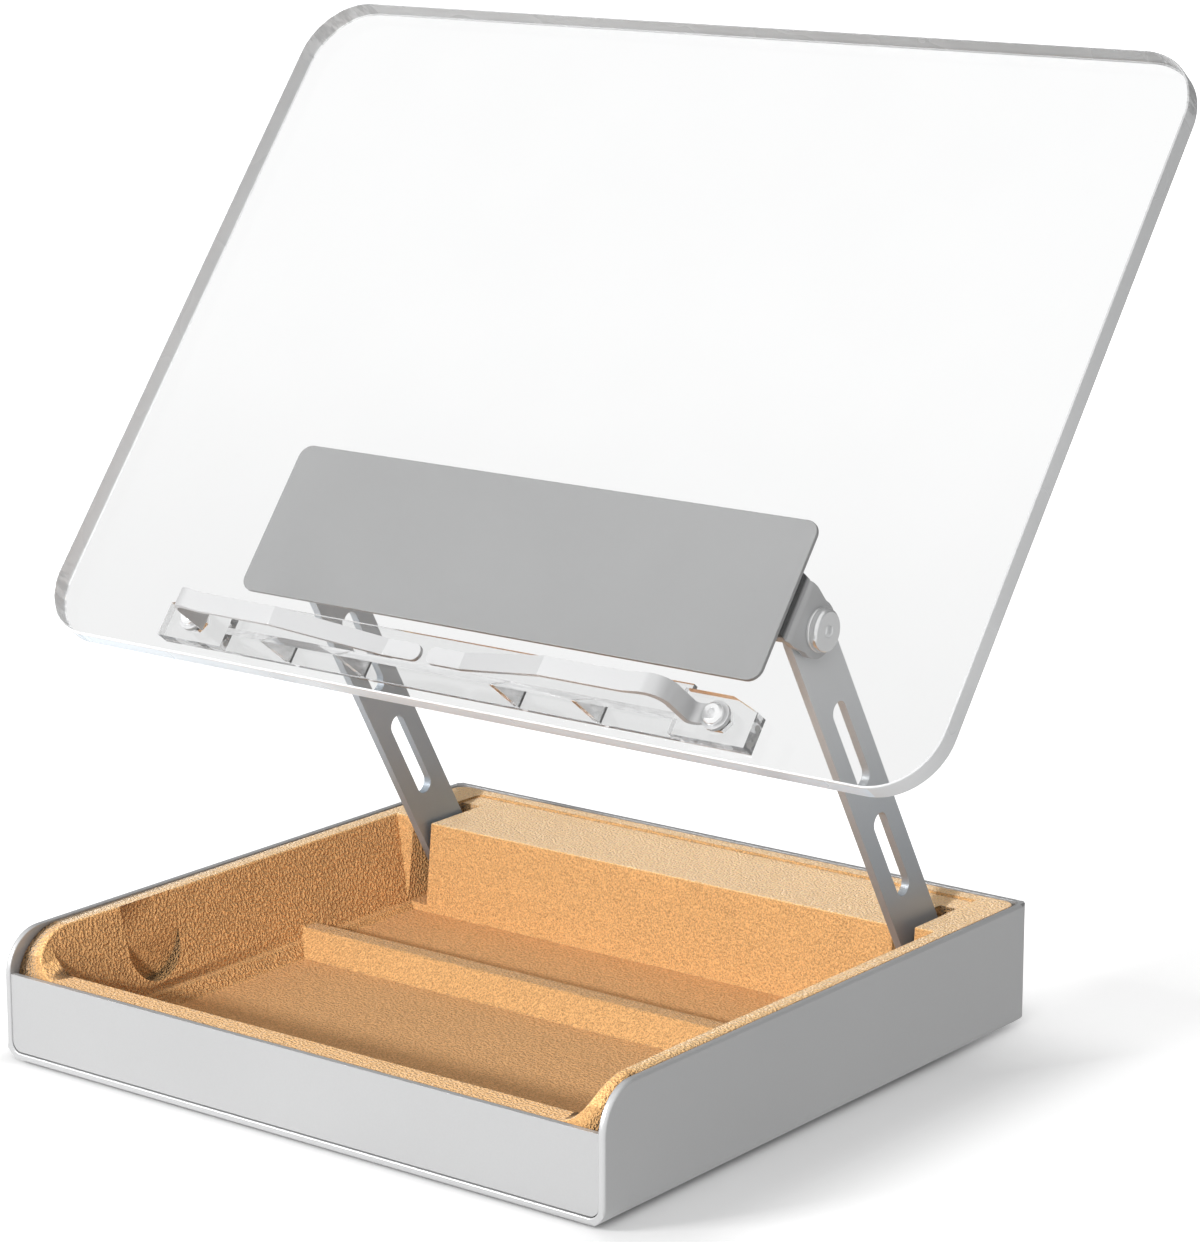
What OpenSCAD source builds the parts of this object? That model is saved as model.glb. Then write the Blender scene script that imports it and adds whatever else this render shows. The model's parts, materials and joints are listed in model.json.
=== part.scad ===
// Folding reading stand: a clear tilting panel on two slotted arms above a lined open tray.
// Millimetres, +Z up, +X to the right seen from the front, front toward -Y, rest plane z = 0.

/* [Base] */
// Width of the base across the side walls
base_w = 204; // [200:1:208]
// Depth of the base from front to rear
base_d = 193; // [190:1:196]
// Height of the side walls above the underside of the shell
base_h = 35.2; // [34.8:0.1:37]
// Sheet thickness of the shell walls and floor
wall_t = 2; // [1.8:0.1:2.2]
// Radius of the lower outer edges of the shell
edge_r = 5; // [4:0.5:6]
// Plan radius of the two rear corners
rear_r = 4; // [3:0.5:5]
// Radius of the rounded front nose of each side wall
nose_r = 12; // [9:0.5:14]
// Height of the rubber feet
foot_h = 1; // [0.8:0.1:2]
// Radius of the rubber feet
foot_r = 6; // [4:0.5:8]

/* [Front panel] */
// Height of the front panel top above the underside of the shell
front_h = 23.9; // [22.5:0.1:25]
// Thickness of the front panel
front_t = 1.6; // [1.2:0.1:1.8]
// Reveal between the shell walls and the front panel
front_gap = 0.3; // [0.2:0.1:0.6]
// Setback of the front panel behind the front edge of the shell
front_inset = 0.4; // [0.2:0.1:0.6]

/* [Tray liner] */
// Clearance between shell wall and liner
liner_gap = 0.7; // [0.5:0.1:0.9]
// Drop of the liner rim below the shell rim
rim_drop = 0.4; // [0.2:0.1:0.8]
// Width of the side rims
rim_w = 4.4; // [4:0.1:4.8]
// Nose radius of the liner side walls
liner_nose_r = 15; // [13:0.5:16]
// Height of the front bay floor above the underside of the shell
front_floor = 5; // [4.5:0.1:5.5]
// Height of the rear bay floor above the underside of the shell
rear_floor = 7.3; // [6.8:0.1:7.8]
// Height of the step line in the bay walls above the underside of the shell
step_z = 9.3; // [9:0.1:9.6]
// Height of the divider ridge above the underside of the shell
divider_h = 12.6; // [11.5:0.1:12.6]
// Width of the ridge top
divider_w = 5.6; // [4.5:0.1:6.5]
// Depth of the rear ledge block from the rear end of the liner
ledge_d = 35.5; // [35:0.1:36.5]
// Drop of the ledge top below the rims
ledge_drop = 0.8; // [0.6:0.1:1]
// Height of the coves where the front rim runs up into the side walls
cove_h = 7.5; // [6:0.5:9]
// Width of the coves along the front rim
cove_w = 7; // [5:0.5:9]

/* [Arms] */
// Centre distance between the two pivots of an arm
arm_len = 120.5; // [118:0.5:122]
// Width of an arm
arm_w = 17.5; // [17:0.1:17.6]
// Thickness of an arm
arm_t = 2.5; // [2:0.1:3]
// Forward lean of the arms from vertical in degrees
arm_lean = 30; // [26:0.5:33]
// Distance from the base side to the outer face of an arm
arm_inset = 16.3; // [16:0.1:17]
// Width of the obround slots in the arms
slot_w = 6; // [5:0.1:7]
// Length of each obround slot
slot_len = 29; // [24:0.5:30]
// Radius of the pivot shafts
pin_r = 2.5; // [2:0.1:3]
// Radial running clearance of shafts in their holes
run_gap = 0.05; // [0.03:0.01:0.08]

/* [Reading panel] */
// Width of the clear panel
panel_w = 300; // [280:1:310]
// Height of the clear panel
panel_h = 212; // [205:1:216]
// Thickness of the clear panel
panel_t = 6; // [5.4:0.1:6.4]
// Corner radius of the clear panel
panel_r = 18.5; // [15:0.5:24]
// Tilt of the panel from horizontal in degrees
panel_tilt = 52.6; // [48:0.2:57]
// Thickness of the back plate
plate_t = 1.2; // [1:0.1:1.6]
// Height of the back plate
plate_h = 46; // [40:0.5:50]
// Thickness of the black spacer pad
pad_t = 3.5; // [3:0.1:4]

/* [Page ledge and clips] */
// Reach of the ledge in front of the panel
ledge_reach = 16; // [14:0.5:17]
// Half length of the straight ledge front
ledge_flat = 53; // [48:1:56]
// Height of the clip blades along the panel
blade_h = 5.4; // [4.6:0.1:5.6]
// Thickness of the clip strip
blade_t = 1.2; // [1:0.1:1.4]
// Distance of the clip blades in front of the panel
blade_out = 23; // [21:0.5:25]

/* [Hidden] */
$fn = 64;
eps = 0.01;
far = 60;

shell_z = foot_h;
floor_z = shell_z + wall_t;
half_w = base_w / 2;
half_d = base_d / 2;
rim_z = shell_z + base_h - rim_drop;
liner_w = base_w - 2 * (wall_t + liner_gap);
liner_front = -half_d + front_inset + front_t + 0.3;
liner_rear = half_d - wall_t - liner_gap;

arm_out = half_w - arm_inset;
arm_in = arm_out - arm_t;
pivot_y = half_d - 25.3;
pivot_z = shell_z + base_h - 13.2;
lift_y = pivot_y - arm_len * sin(arm_lean);
lift_z = pivot_z + arm_len * cos(arm_lean);
fold_y = pivot_y - arm_len;

web_t = 2;
bend_r = 2.5;
hinge_u = -58.7;
web_n = -panel_t - plate_t - pad_t;
hinge_n = web_n - web_t - arm_w / 2 - 0.3;
panel_y = lift_y - hinge_u * cos(panel_tilt) + hinge_n * sin(panel_tilt);
panel_z = lift_z - hinge_u * sin(panel_tilt) - hinge_n * cos(panel_tilt);
ear_in = arm_out + 0.95;
ear_out = ear_in + web_t;

bay_top = liner_w / 2 - rim_w;
bay_step = arm_out + 2.8;
step_in = 1;
front_rim_z = shell_z + front_h - 0.5;
front_wall = 7.8;
bay_front = liner_front + front_wall;
ledge_front = liner_rear - ledge_d;
ridge_y = 10;
wall_slope = (bay_top - bay_step) / (rim_z - shell_z - step_z);
ledge_slope = 0.09;
ridge_rise = 0.605;
ridge_fall = 0.53;
scoop_r = 10;
slot_in = arm_in - 1.3;
slot_out = arm_out + 3;
slot_floor = shell_z + step_z;
slot_rear = pivot_y + arm_w / 2 + 1.6;

bracket_t = 2;
thrust_t = 0.5;
bracket_x = arm_in - run_gap - thrust_t - bracket_t;
bracket_r = 9;
foot_x = half_w - 15;
foot_y = half_d - 15;

rear_y = max(half_d, panel_y + panel_h / 2 * cos(panel_tilt) + panel_t * sin(panel_tilt));
shift_y = (half_d - rear_y) / 2;

block_x0 = 76;
block_x1 = 99.3;
block_n = 4.5;
block_u0 = -103.2;
block_u1 = -90.3;
shelf_u = -95.8;
shelf_t = 2;
shelf_fall = 0.355;
clip_x = 88.7;
clip_u = -96.7;
clip_r = 1.5;
clip_wall = clip_x - 6.2;
tab_n = block_n + 0.5 + run_gap;
blade_u = -98.5;

// Placing helpers
module placed() {
    translate([0, shift_y, 0]) children();
}
module along_y(y0, y1) {
    translate([0, y1, 0]) rotate([90, 0, 0]) linear_extrude(y1 - y0) children();
}
module along_x(x0, x1) {
    translate([x0, 0, 0]) rotate([90, 0, 90]) linear_extrude(x1 - x0) children();
}
module turned_x(x0, x1, r) {
    translate([x0, 0, 0]) rotate([0, 90, 0]) cylinder(h = x1 - x0, r = r);
}
module left_side() {
    mirror([1, 0, 0]) children();
}
module both_sides() {
    children();
    mirror([1, 0, 0]) children();
}
module on_panel() {
    translate([0, panel_y, panel_z]) rotate([panel_tilt, 0, 0]) children();
}
module at_lift() {
    translate([0, lift_y, lift_z]) children();
}
module at_pivot() {
    translate([0, pivot_y, pivot_z]) children();
}

// Outlines
module trough_outline(w, h, r) {
    translate([-w / 2, r]) square([w, h - r]);
    translate([-w / 2 + r, 0]) square([w - 2 * r, h]);
    translate([-w / 2 + r, r]) circle(r);
    translate([w / 2 - r, r]) circle(r);
}
module rear_round_outline(w, y0, y1, r) {
    translate([-w / 2, y0]) square([w, y1 - y0 - r]);
    translate([-w / 2 + r, y0]) square([w - 2 * r, y1 - y0]);
    translate([-w / 2 + r, y1 - r]) circle(r);
    translate([w / 2 - r, y1 - r]) circle(r);
}
module profile_outline(y0, y1, h, rn, rb) {
    translate([y0 + rn, rb]) square([y1 - y0 - rn, h - rb]);
    translate([y0, 0]) square([y1 - y0 - rb, h - rn]);
    translate([y0 + rn, h - rn]) circle(rn);
    translate([y1 - rb, rb]) circle(rb);
}
module slab_outline(w, h, r) {
    translate([-w / 2, -h / 2 + r]) square([w, h - 2 * r]);
    translate([-w / 2 + r, -h / 2]) square([w - 2 * r, h]);
    for (sx = [-1, 1]) for (sy = [-1, 1])
        translate([sx * (w / 2 - r), sy * (h / 2 - r)]) circle(r);
}
module obround_outline(a, b, w) {
    translate([a, -w / 2]) square([b - a, w]);
    translate([a, 0]) circle(w / 2);
    translate([b, 0]) circle(w / 2);
}
module hex_outline(flats, hole) {
    difference() {
        rotate(30) circle(flats / sqrt(3), $fn = 6);
        circle(hole);
    }
}
module ring_x(x0, x1, r, hole) {
    difference() {
        turned_x(x0, x1, r);
        turned_x(x0 - 1, x1 + 1, hole);
    }
}
module nut_x(x0, x1, flats, hole) {
    translate([x0, 0, 0]) rotate([0, 90, 0]) linear_extrude(x1 - x0) hex_outline(flats, hole);
}

// Screws that enter the shell from below
screw_r = 1.5;
sink_r = 2.9;
sink_h = 1.2;
module sunk_screw(top) {
    cylinder(h = sink_h, r1 = sink_r, r2 = screw_r);
    cylinder(h = top, r = screw_r);
}
module sunk_hole() {
    translate([0, 0, -eps]) cylinder(h = sink_h + eps, r1 = sink_r + run_gap, r2 = screw_r + run_gap);
    translate([0, 0, -1]) cylinder(h = 12, r = screw_r + run_gap);
}
panel_screw_x = [-70, 0, 70];
panel_screw_y = liner_front + 3.6;
module panel_screw_spots() {
    for (x = panel_screw_x) translate([x, panel_screw_y, shell_z]) children();
}
flange_d = 15;
floor_screw_x = bracket_x - 6.5;
module floor_screw_spots() {
    for (s = [-1, 1]) for (dy = [-5.2, 5.2])
        translate([s * floor_screw_x, pivot_y + dy, shell_z]) children();
}

// Base
module base_shell() {
    ri = edge_r - wall_t;
    color([0.78, 0.78, 0.79]) difference() {
        translate([0, 0, shell_z]) intersection() {
            along_y(-half_d, half_d) trough_outline(base_w, base_h, edge_r);
            linear_extrude(base_h) rear_round_outline(base_w, -half_d, half_d, rear_r);
            along_x(-half_w, half_w) profile_outline(-half_d, half_d, base_h, nose_r, edge_r);
        }
        translate([0, 0, floor_z]) intersection() {
            along_y(-half_d - 5, half_d) trough_outline(base_w - 2 * wall_t, far, ri);
            linear_extrude(far)
                rear_round_outline(base_w - 2 * wall_t, -half_d - 5, half_d - wall_t, rear_r - wall_t + 1);
            along_x(-half_w, half_w) profile_outline(-half_d - 5, half_d - wall_t, far, 1, ri);
        }
        panel_screw_spots() sunk_hole();
        floor_screw_spots() sunk_hole();
    }
}

module front_panel() {
    y0 = -half_d + front_inset;
    z0 = floor_z + 0.6;
    color([0.84, 0.84, 0.85]) difference() {
        union() {
            translate([0, 0, z0]) along_y(y0, y0 + front_t)
                trough_outline(base_w - 2 * (wall_t + front_gap), shell_z + front_h - z0, 3);
            translate([-half_w + 14, y0 + front_t / 2, floor_z])
                cube([base_w - 28, panel_screw_y + 4 - y0 - front_t / 2, 1.4]);
        }
        panel_screw_spots() sunk_hole();
    }
}

module panel_screws() {
    color([0.35, 0.35, 0.36]) panel_screw_spots() sunk_screw(wall_t + 1.3);
}

module rubber_feet() {
    color([0.12, 0.12, 0.12])
        for (x = [-foot_x, foot_x]) for (y = [-foot_y, foot_y])
            translate([x, y, 0]) cylinder(h = foot_h, r = foot_r);
}

// Tray liner
function wall_x(z) = bay_step + wall_slope * (z - shell_z - step_z);
function ledge_face(z) = ledge_front + 1 - ledge_slope * (rim_z + 10 - z);
function ridge_face(z) = ridge_y - ridge_rise * (shell_z + divider_h - z);
function ridge_back(z) = ridge_y + divider_w + ridge_fall * (shell_z + divider_h - z);
module bay_section() {
    zs = shell_z + step_z;
    over = wall_x(rim_z + 10);
    polygon([[-bay_step, zs], [bay_step, zs], [over, rim_z + 10], [-over, rim_z + 10]]);
}
function cove_z(t) = front_rim_z + cove_h * (1 - sin(t));
function cove_x(t) = wall_x(cove_z(t)) - cove_w * (1 - cos(t));
module cove_section() {
    out = wall_x(rim_z) + 5;
    polygon(concat([[out, cove_z(0)]],
                   [for (t = [0:15:90]) [cove_x(t), cove_z(t)]],
                   [[cove_x(90), front_rim_z - 1], [out, front_rim_z - 1]]));
}
module pocket_section(zf) {
    zs = shell_z + step_z;
    x0 = bay_step - step_in;
    x1 = x0 - 0.6 * (zs - zf);
    polygon([[-x1, zf], [x1, zf], [x0, zs + eps], [-x0, zs + eps]]);
}
module bays() {
    zs = shell_z + step_z;
    zf = shell_z + front_floor;
    zr = shell_z + rear_floor;
    difference() {
        intersection() {
            along_y(-half_d, half_d) bay_section();
            along_x(-half_w, half_w)
                polygon([[bay_front, zs], [ledge_face(zs), zs], [ledge_face(rim_z + 10), rim_z + 10],
                         [-half_d, rim_z + 10], [-half_d, front_rim_z], [bay_front, front_rim_z]]);
        }
        both_sides() along_y(-half_d - 1, bay_front) cove_section();
    }
    intersection() {
        along_y(-half_d, half_d) pocket_section(zf);
        along_x(-half_w, half_w)
            polygon([[bay_front + step_in, zs + eps], [bay_front + step_in + 1.5, zf],
                     [ridge_face(zf), zf], [ridge_face(zs + eps), zs + eps]]);
    }
    intersection() {
        along_y(-half_d, half_d) pocket_section(zr);
        along_x(-half_w, half_w)
            polygon([[ridge_back(zs + eps), zs + eps], [ridge_back(zr), zr],
                     [ledge_face(zr), zr], [ledge_face(zs + eps), zs + eps]]);
    }
}
module divider_ridge() {
    zs = shell_z + step_z - 0.5;
    zt = shell_z + divider_h;
    along_x(-bay_step - 1, bay_step + 1)
        polygon([[ridge_face(zs), zs], [ridge_y, zt], [ridge_y + divider_w, zt], [ridge_back(zs), zs]]);
}
module arm_slot() {
    translate([slot_in, ledge_front - 8, slot_floor])
        cube([slot_out - slot_in, slot_rear - ledge_front + 8, far]);
}
module bracket_pocket() {
    w = 2 * bracket_r + 2;
    translate([bracket_x - flange_d + 1, pivot_y - w / 2, floor_z - 1])
        cube([flange_d + 3, w, 4.2]);
    translate([bracket_x - 6, pivot_y - w / 2, floor_z - 1])
        cube([arm_in + 0.2 - bracket_x + 6, w, pivot_z + bracket_r + 1 - floor_z + 1]);
}
module head_scoop() {
    x1 = ear_out + 7;
    translate([0, fold_y, pivot_z]) turned_x(slot_in, x1, scoop_r);
    translate([slot_in, fold_y - scoop_r, pivot_z]) cube([x1 - slot_in, 2 * scoop_r, far]);
}
module tray_liner() {
    h = rim_z - floor_z;
    color([0.85, 0.63, 0.4]) difference() {
        union() {
            difference() {
                translate([0, 0, floor_z]) intersection() {
                    along_y(liner_front, liner_rear) trough_outline(liner_w, h, edge_r - wall_t + 0.3);
                    linear_extrude(h) rear_round_outline(liner_w, liner_front, liner_rear, rear_r);
                    along_x(-half_w, half_w)
                        profile_outline(liner_front, liner_rear, h, liner_nose_r, edge_r - wall_t + 0.3);
                }
                bays();
            }
            divider_ridge();
        }
        both_sides() {
            arm_slot();
            bracket_pocket();
            head_scoop();
        }
        translate([-half_w, liner_front - 1, floor_z - 1])
            cube([base_w, panel_screw_y + 4.3 - liner_front + 1, 2.5]);
        along_x(-slot_out, slot_out)
            polygon([[ledge_front - 4, rim_z - ledge_drop], [liner_rear - 4.4, rim_z - ledge_drop],
                     [liner_rear - 3.4, rim_z + 1], [ledge_front - 4, rim_z + 1]]);
    }
}

// Hinges in the base
module base_bracket_right() {
    color([0.55, 0.56, 0.58]) difference() {
        union() {
            at_pivot() turned_x(bracket_x, bracket_x + bracket_t, bracket_r);
            translate([bracket_x, pivot_y - bracket_r, floor_z])
                cube([bracket_t, 2 * bracket_r, pivot_z - floor_z]);
            translate([bracket_x + bracket_t - flange_d, pivot_y - bracket_r, floor_z])
                cube([flange_d, 2 * bracket_r, bracket_t]);
        }
        at_pivot() turned_x(bracket_x - 1, bracket_x + bracket_t + 1, pin_r + run_gap);
        floor_screw_spots() sunk_hole();
    }
}
module base_bracket_left() {
    left_side() base_bracket_right();
}
module floor_screws() {
    color([0.35, 0.35, 0.36]) floor_screw_spots() sunk_screw(wall_t + bracket_t - 0.2);
}
module base_pin_right() {
    head_x = arm_out + run_gap + thrust_t;
    color([0.6, 0.6, 0.62]) at_pivot() {
        turned_x(bracket_x - 4.6, head_x, pin_r);
        turned_x(head_x, head_x + 1.9, 4.5);
    }
}
module base_pin_left() {
    left_side() base_pin_right();
}
module thrust_washers() {
    color([0.9, 0.9, 0.88]) both_sides() at_pivot() {
        ring_x(bracket_x + bracket_t, bracket_x + bracket_t + thrust_t, 6, pin_r + run_gap);
        ring_x(arm_out + run_gap, arm_out + run_gap + thrust_t, 5.5, pin_r + run_gap);
    }
}
module base_nuts() {
    color([0.6, 0.6, 0.62]) both_sides() at_pivot() nut_x(bracket_x - 4, bracket_x, 8, pin_r + run_gap);
}

// Arms
module arm_right() {
    lower = arm_len * 0.209 + slot_w / 2;
    upper = arm_len * 0.541 + slot_w / 2;
    color([0.66, 0.66, 0.68]) at_pivot() rotate([90 + arm_lean, 0, 0]) along_x(arm_in, arm_out)
        difference() {
            obround_outline(0, arm_len, arm_w);
            circle(pin_r + run_gap);
            translate([arm_len, 0]) circle(pin_r + run_gap);
            obround_outline(lower, lower + slot_len - slot_w, slot_w);
            obround_outline(upper, upper + slot_len - slot_w, slot_w);
        }
}
module arm_left() {
    left_side() arm_right();
}

// Reading panel
module acrylic_panel() {
    color([0.9, 0.93, 0.95, 0.4]) on_panel() translate([0, 0, -panel_t]) linear_extrude(panel_t)
        slab_outline(panel_w, panel_h, panel_r);
}
module back_plate() {
    color([0.7, 0.7, 0.71]) on_panel() translate([0, hinge_u, -panel_t - plate_t]) linear_extrude(plate_t)
        slab_outline(2 * ear_out - 1, plate_h, 4);
}
bracket_screw_x = [-65, -25, 25, 65];
module bracket_screw_spots(n) {
    on_panel() for (x = bracket_screw_x) translate([x, hinge_u, n]) children();
}
module spacer_pad() {
    color([0.08, 0.08, 0.08]) difference() {
        on_panel() translate([-ear_out + 0.4, hinge_u - arm_w / 2, web_n])
            cube([2 * ear_out - 0.8, arm_w, pad_t]);
        bracket_screw_spots(web_n - 1) cylinder(h = pad_t + 0.4, r = screw_r + run_gap);
    }
}
module ear_outline() {
    r = arm_w / 2 - 1;
    h = arm_w / 2;
    d = web_n - hinge_n;
    translate([d, 0]) circle(r);
    polygon([[bend_r, -h], [bend_r, h], [4, h], [d, r - 0.5], [d, 0.5 - r], [4, -h]]);
}
module hinge_bracket() {
    color([0.66, 0.66, 0.68]) difference() {
        on_panel() translate([0, hinge_u, web_n]) union() {
            rotate([-90, 0, 0]) linear_extrude(arm_w, center = true) difference() {
                trough_outline(2 * ear_out, 4, bend_r);
                translate([0, web_t]) trough_outline(2 * ear_in, 4, bend_r - web_t);
            }
            both_sides() translate([ear_in, 0, 0]) rotate([0, 90, 0]) linear_extrude(web_t) ear_outline();
        }
        at_lift() turned_x(-half_w, half_w, pin_r + run_gap);
        bracket_screw_spots(web_n - web_t - 1) cylinder(h = web_t + 2, r = screw_r + run_gap);
    }
}
module bracket_screws() {
    color([0.3, 0.3, 0.31]) bracket_screw_spots(web_n - web_t) {
        cylinder(h = web_t + pad_t - 1, r = screw_r);
        translate([0, 0, -1.6]) cylinder(h = 1.6, r1 = 2.2, r2 = 2.8);
    }
}

// Upper pivots
washer_t = 1;
head_t = 2.3;
module pivot_screw_right() {
    x1 = ear_out + washer_t;
    color([0.82, 0.82, 0.83]) at_lift() difference() {
        union() {
            turned_x(arm_in - 1 - run_gap - 5, x1, pin_r);
            turned_x(x1, x1 + head_t - 0.6, 5.7);
            translate([x1 + head_t - 0.6, 0, 0]) rotate([0, 90, 0]) cylinder(h = 0.6, r1 = 5.7, r2 = 5.1);
        }
        translate([x1 + 0.6, 0, 0]) rotate([0, 90, 0]) cylinder(h = 5, r = 1.75, $fn = 6);
    }
}
module pivot_screw_left() {
    left_side() pivot_screw_right();
}
module pivot_washer_right() {
    color([0.75, 0.75, 0.76]) at_lift() ring_x(ear_out, ear_out + washer_t, 5.9, pin_r + run_gap);
}
module pivot_washer_left() {
    left_side() pivot_washer_right();
}
module friction_washer_right() {
    color([0.25, 0.25, 0.25]) at_lift() ring_x(arm_out + run_gap, ear_in, 7, pin_r + run_gap);
}
module friction_washer_left() {
    left_side() friction_washer_right();
}
module inner_washers() {
    color([0.9, 0.9, 0.88]) both_sides() at_lift()
        ring_x(arm_in - run_gap - 1, arm_in - run_gap, 6, pin_r + run_gap);
}
module lock_nut_right() {
    x1 = arm_in - run_gap - 1;
    color([0.6, 0.6, 0.62]) at_lift() nut_x(x1 - 4.4, x1, 8, pin_r + run_gap);
}
module lock_nut_left() {
    left_side() lock_nut_right();
}

// Page ledge and clips
module clip_spots(n) {
    on_panel() both_sides() translate([clip_x, clip_u, n]) children();
}
module clip_spot(n) {
    on_panel() translate([clip_x, clip_u, n]) children();
}
module ledge_plan() {
    polygon([[-block_x0, 0], [-block_x0, block_n], [-ledge_flat, ledge_reach], [ledge_flat, ledge_reach],
             [block_x0, block_n], [block_x0, 0]]);
}
module ledge_shelf() {
    drop = shelf_fall * ledge_reach;
    intersection() {
        translate([0, shelf_u + 20, 0]) rotate([90, 0, 0]) linear_extrude(40) ledge_plan();
        along_x(-block_x0, block_x0)
            polygon([[shelf_u, 0], [shelf_u - drop, ledge_reach], [shelf_u - drop - shelf_t, ledge_reach],
                     [shelf_u - shelf_t, 0]]);
    }
}
module ledge_fin(x) {
    tip = (shelf_u - shelf_t - block_u0) / shelf_fall;
    along_x(x - 0.8, x + 0.8)
        polygon([[block_u0, 0], [shelf_u - 1, 0], [shelf_u - 1 - shelf_fall * tip, tip], [block_u0, tip]]);
}
module end_block() {
    linear_extrude(block_n)
        polygon([[block_x0 - eps, block_u0], [block_x1, block_u0], [block_x1, block_u1 - 3],
                 [block_x1 - 8.5, block_u1], [block_x0 - eps, block_u1]]);
}
module page_ledge() {
    color([0.9, 0.93, 0.95, 0.45]) difference() {
        on_panel() union() {
            translate([-block_x0, block_u0, 0]) cube([2 * block_x0, -88 - block_u0, 1.8]);
            ledge_shelf();
            for (x = [-52.7, -26.3, 26.3, 52.7]) ledge_fin(x);
            both_sides() end_block();
        }
        clip_spots(-1) cylinder(h = 8, r = clip_r + run_gap);
        clip_spots(-1) cylinder(h = 3.4, r = 3.3, $fn = 6);
    }
}
function side_of(a, b) = [a[1] - b[1], b[0] - a[0]] / norm(b - a);
function mitre(p, i) =
    let (n1 = side_of(p[max(i - 1, 0)], p[max(i, 1)]),
         n2 = side_of(p[min(i, len(p) - 2)], p[min(i + 1, len(p) - 1)]))
    (n1 + n2) / (1 + n1 * n2);
module bent_strip(p, t) {
    last = len(p) - 1;
    polygon(concat([for (i = [0 : last]) p[i] + mitre(p, i) * t / 2],
                   [for (i = [last : -1 : 0]) p[i] - mitre(p, i) * t / 2]));
}
module clip_section() {
    tab_mid = tab_n + blade_t / 2;
    foot_n = blade_out - 9.8;
    bent_strip([[clip_x + 6, tab_mid], [clip_wall, tab_mid], [clip_wall, blade_out], [45.5, blade_out],
                [13, foot_n], [0, foot_n]], blade_t);
}
module clip_face() {
    low = blade_u - blade_h / 2;
    tab_low = clip_u - blade_h / 2;
    foot_low = low + 1.1;
    foot_r = blade_h / 2 - 0.3;
    translate([1.2 + foot_r, foot_low + foot_r]) circle(foot_r);
    translate([clip_x, clip_u]) circle(4);
    polygon([[1.2 + foot_r, foot_low], [12, foot_low], [45.5, low], [clip_wall - 2, low],
             [clip_wall + 2, tab_low], [clip_x, tab_low], [clip_x, tab_low + blade_h],
             [clip_wall + 2, tab_low + blade_h], [clip_wall - 2, low + blade_h], [45.5, low + blade_h],
             [12, foot_low + 2 * foot_r], [1.2 + foot_r, foot_low + 2 * foot_r]]);
}
module clip_right() {
    color([0.8, 0.8, 0.81]) on_panel() difference() {
        intersection() {
            translate([0, blade_u + 10, 0]) rotate([90, 0, 0]) linear_extrude(20) clip_section();
            linear_extrude(40) clip_face();
        }
        translate([clip_x, clip_u, tab_n - 1]) cylinder(h = blade_t + 2, r = clip_r + run_gap);
    }
}
module clip_left() {
    left_side() clip_right();
}
module clip_screw_right() {
    n0 = tab_n + blade_t + run_gap;
    color([0.82, 0.82, 0.83]) clip_spot(0) difference() {
        union() {
            translate([0, 0, 0.3]) cylinder(h = n0 - 0.3, r = clip_r);
            translate([0, 0, n0]) cylinder(h = 1.2, r = 3);
            translate([0, 0, n0 + 1.2]) cylinder(h = 0.8, r1 = 3, r2 = 2.2);
        }
        translate([0, 0, n0 + 0.8]) cylinder(h = 4, r = 1.1, $fn = 6);
    }
}
module clip_screw_left() {
    left_side() clip_screw_right();
}
module clip_washers() {
    color([0.92, 0.92, 0.9]) clip_spots(block_n) difference() {
        cylinder(h = 0.5, r = 3.4);
        translate([0, 0, -1]) cylinder(h = 3, r = clip_r + run_gap);
    }
}
module clip_nuts() {
    color([0.5, 0.5, 0.52]) clip_spots(0.2) linear_extrude(2.2) rotate(30) hex_outline(5.5, clip_r + run_gap);
}

placed() base_shell();
placed() front_panel();
placed() panel_screws();
placed() tray_liner();
placed() rubber_feet();
placed() base_bracket_left();
placed() base_bracket_right();
placed() floor_screws();
placed() base_pin_left();
placed() base_pin_right();
placed() thrust_washers();
placed() base_nuts();
placed() arm_left();
placed() arm_right();
placed() acrylic_panel();
placed() back_plate();
placed() spacer_pad();
placed() hinge_bracket();
placed() bracket_screws();
placed() pivot_screw_left();
placed() pivot_screw_right();
placed() pivot_washer_left();
placed() pivot_washer_right();
placed() friction_washer_left();
placed() friction_washer_right();
placed() inner_washers();
placed() lock_nut_left();
placed() lock_nut_right();
placed() page_ledge();
placed() clip_left();
placed() clip_right();
placed() clip_screw_left();
placed() clip_screw_right();
placed() clip_washers();
placed() clip_nuts();
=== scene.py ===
import json
import math

import bpy
import bmesh
from mathutils import Matrix, Vector


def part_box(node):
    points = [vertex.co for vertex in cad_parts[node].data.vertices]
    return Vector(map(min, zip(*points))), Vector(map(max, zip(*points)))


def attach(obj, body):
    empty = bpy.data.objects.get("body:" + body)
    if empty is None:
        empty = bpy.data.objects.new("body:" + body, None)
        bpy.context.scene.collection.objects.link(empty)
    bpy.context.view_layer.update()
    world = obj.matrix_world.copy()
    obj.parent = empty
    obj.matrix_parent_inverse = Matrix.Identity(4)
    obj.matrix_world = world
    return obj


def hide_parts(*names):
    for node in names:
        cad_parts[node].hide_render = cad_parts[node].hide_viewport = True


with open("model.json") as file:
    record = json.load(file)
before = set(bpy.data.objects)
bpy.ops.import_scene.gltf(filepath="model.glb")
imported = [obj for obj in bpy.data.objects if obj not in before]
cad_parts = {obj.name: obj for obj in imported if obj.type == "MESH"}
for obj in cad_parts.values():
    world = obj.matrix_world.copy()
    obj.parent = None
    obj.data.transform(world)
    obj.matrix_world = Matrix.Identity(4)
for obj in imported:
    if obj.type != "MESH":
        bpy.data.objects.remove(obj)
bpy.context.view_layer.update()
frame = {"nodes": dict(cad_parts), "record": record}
nodes = frame["nodes"]
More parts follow.
